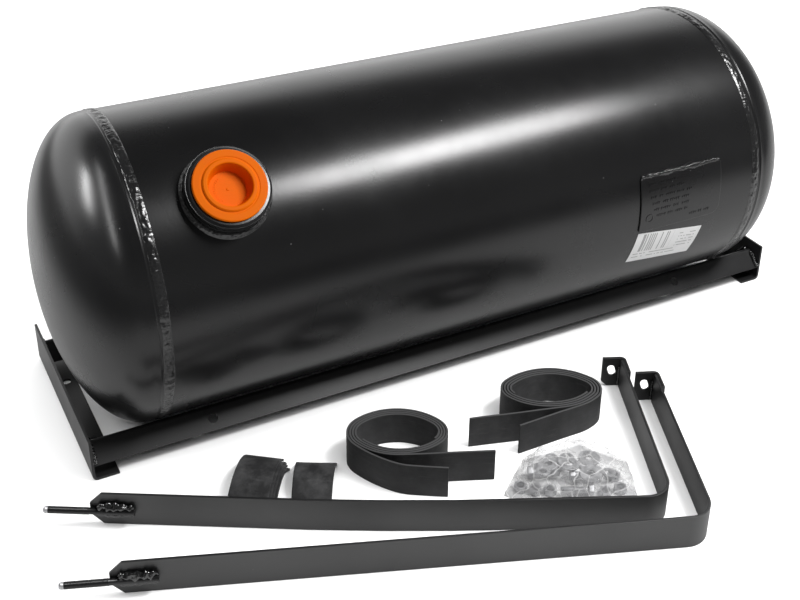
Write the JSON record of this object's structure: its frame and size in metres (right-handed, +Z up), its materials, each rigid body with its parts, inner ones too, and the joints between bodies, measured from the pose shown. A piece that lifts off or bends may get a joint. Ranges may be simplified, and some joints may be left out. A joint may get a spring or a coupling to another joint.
{
  "type": "cylindrical gas tank with cradle and strap kit",
  "caption": "Horizontal welded pressure tank with domed ends and a plugged neck, lying in an angle cradle, with loose straps, rubber strips and a bag of fasteners.",
  "frame": {"origin": "middle of the cradle's four floor holes, at floor level", "axes": "+X along the tank away from the neck, +Z up, -Y towards the loose kit"},
  "size_m": [1.0398, 0.6915, 0.368],
  "materials": {
    "tank_paint": "satin black powder coat",
    "weld_paint": "gloss black over lumpy weld",
    "frame_paint": "satin black powder coat",
    "strap_paint": "satin dark grey coat",
    "stud_paint": "painted thread with a bare plated tip",
    "orange_plastic": "moulded, semi-gloss",
    "strip_rubber": "matt, dusty",
    "pad_rubber": "matt, dusty",
    "label_paper": "printed paper",
    "clear_film": "clear crinkled film",
    "zinc_plate": "bright zinc plate"
  },
  "bodies": {
    "cradle": {"end_angle_left": "frame_paint", "end_angle_right": "frame_paint", "rail_front": "frame_paint", "rail_rear": "frame_paint", "frame_welds": "weld_paint"},
    "tank": {"tank_shell": "tank_paint", "head_left": "tank_paint", "head_right": "tank_paint", "girth_weld_left": "weld_paint", "girth_weld_right": "weld_paint", "seam_weld": "weld_paint", "neck_ring": "tank_paint", "neck_weld": "weld_paint", "data_plate": "tank_paint", "plate_weld": "weld_paint", "label": "label_paper"},
    "plug": {"transport_plug": "orange_plastic"},
    "strap_1": {"strap_band_1": "strap_paint", "strap_stud_1": "stud_paint", "stud_weld_1": "weld_paint", "strap_eye_1": "strap_paint", "eye_weld_1": "weld_paint"},
    "strap_2": {"strap_band_2": "strap_paint", "strap_stud_2": "stud_paint", "stud_weld_2": "weld_paint", "strap_eye_2": "strap_paint", "eye_weld_2": "weld_paint"},
    "roll_1": {"rubber_strip_1": "strip_rubber", "rubber_strip_2": "strip_rubber"},
    "roll_2": {"rubber_strip_3": "strip_rubber", "rubber_strip_4": "strip_rubber"},
    "pad_stack": {"rubber_pad_1": "pad_rubber", "rubber_pad_2": "pad_rubber", "rubber_pad_3": "pad_rubber", "rubber_pad_4": "pad_rubber"},
    "single_pad": {"rubber_pad_5": "pad_rubber"},
    "fastener_bag": {"bag_film": "clear_film", "hex_bolts": "zinc_plate", "hex_nuts": "zinc_plate", "washers": "zinc_plate", "large_washers": "zinc_plate"}
  },
  "joints": [
    {"name": "tank_turn", "type": "hinge", "parent": "cradle", "child": "tank", "pos_m": [0, 0, 0.186], "axis": [1, 0, 0], "range_deg": [-40, 25]},
    {"name": "plug_pull", "type": "slide", "parent": "tank", "child": "plug", "axis": [0, -0.6947, 0.7193], "range_m": [0, 0.05]},
    {"name": "strap_1_lift", "type": "slide", "parent": "cradle", "child": "strap_1", "axis": [0, 0, 1], "range_m": [0, 0.08]},
    {"name": "strap_2_lift", "type": "slide", "parent": "cradle", "child": "strap_2", "axis": [0, 0, 1], "range_m": [0, 0.08]},
    {"name": "roll_1_lift", "type": "slide", "parent": "cradle", "child": "roll_1", "axis": [0, 0, 1], "range_m": [0, 0.08]},
    {"name": "roll_2_lift", "type": "slide", "parent": "cradle", "child": "roll_2", "axis": [0, 0, 1], "range_m": [0, 0.08]},
    {"name": "pad_stack_lift", "type": "slide", "parent": "cradle", "child": "pad_stack", "axis": [0, 0, 1], "range_m": [0, 0.08]},
    {"name": "single_pad_lift", "type": "slide", "parent": "cradle", "child": "single_pad", "axis": [0, 0, 1], "range_m": [0, 0.08]},
    {"name": "fastener_bag_lift", "type": "slide", "parent": "cradle", "child": "fastener_bag", "axis": [0, 0, 1], "range_m": [0, 0.08]}
  ]
}
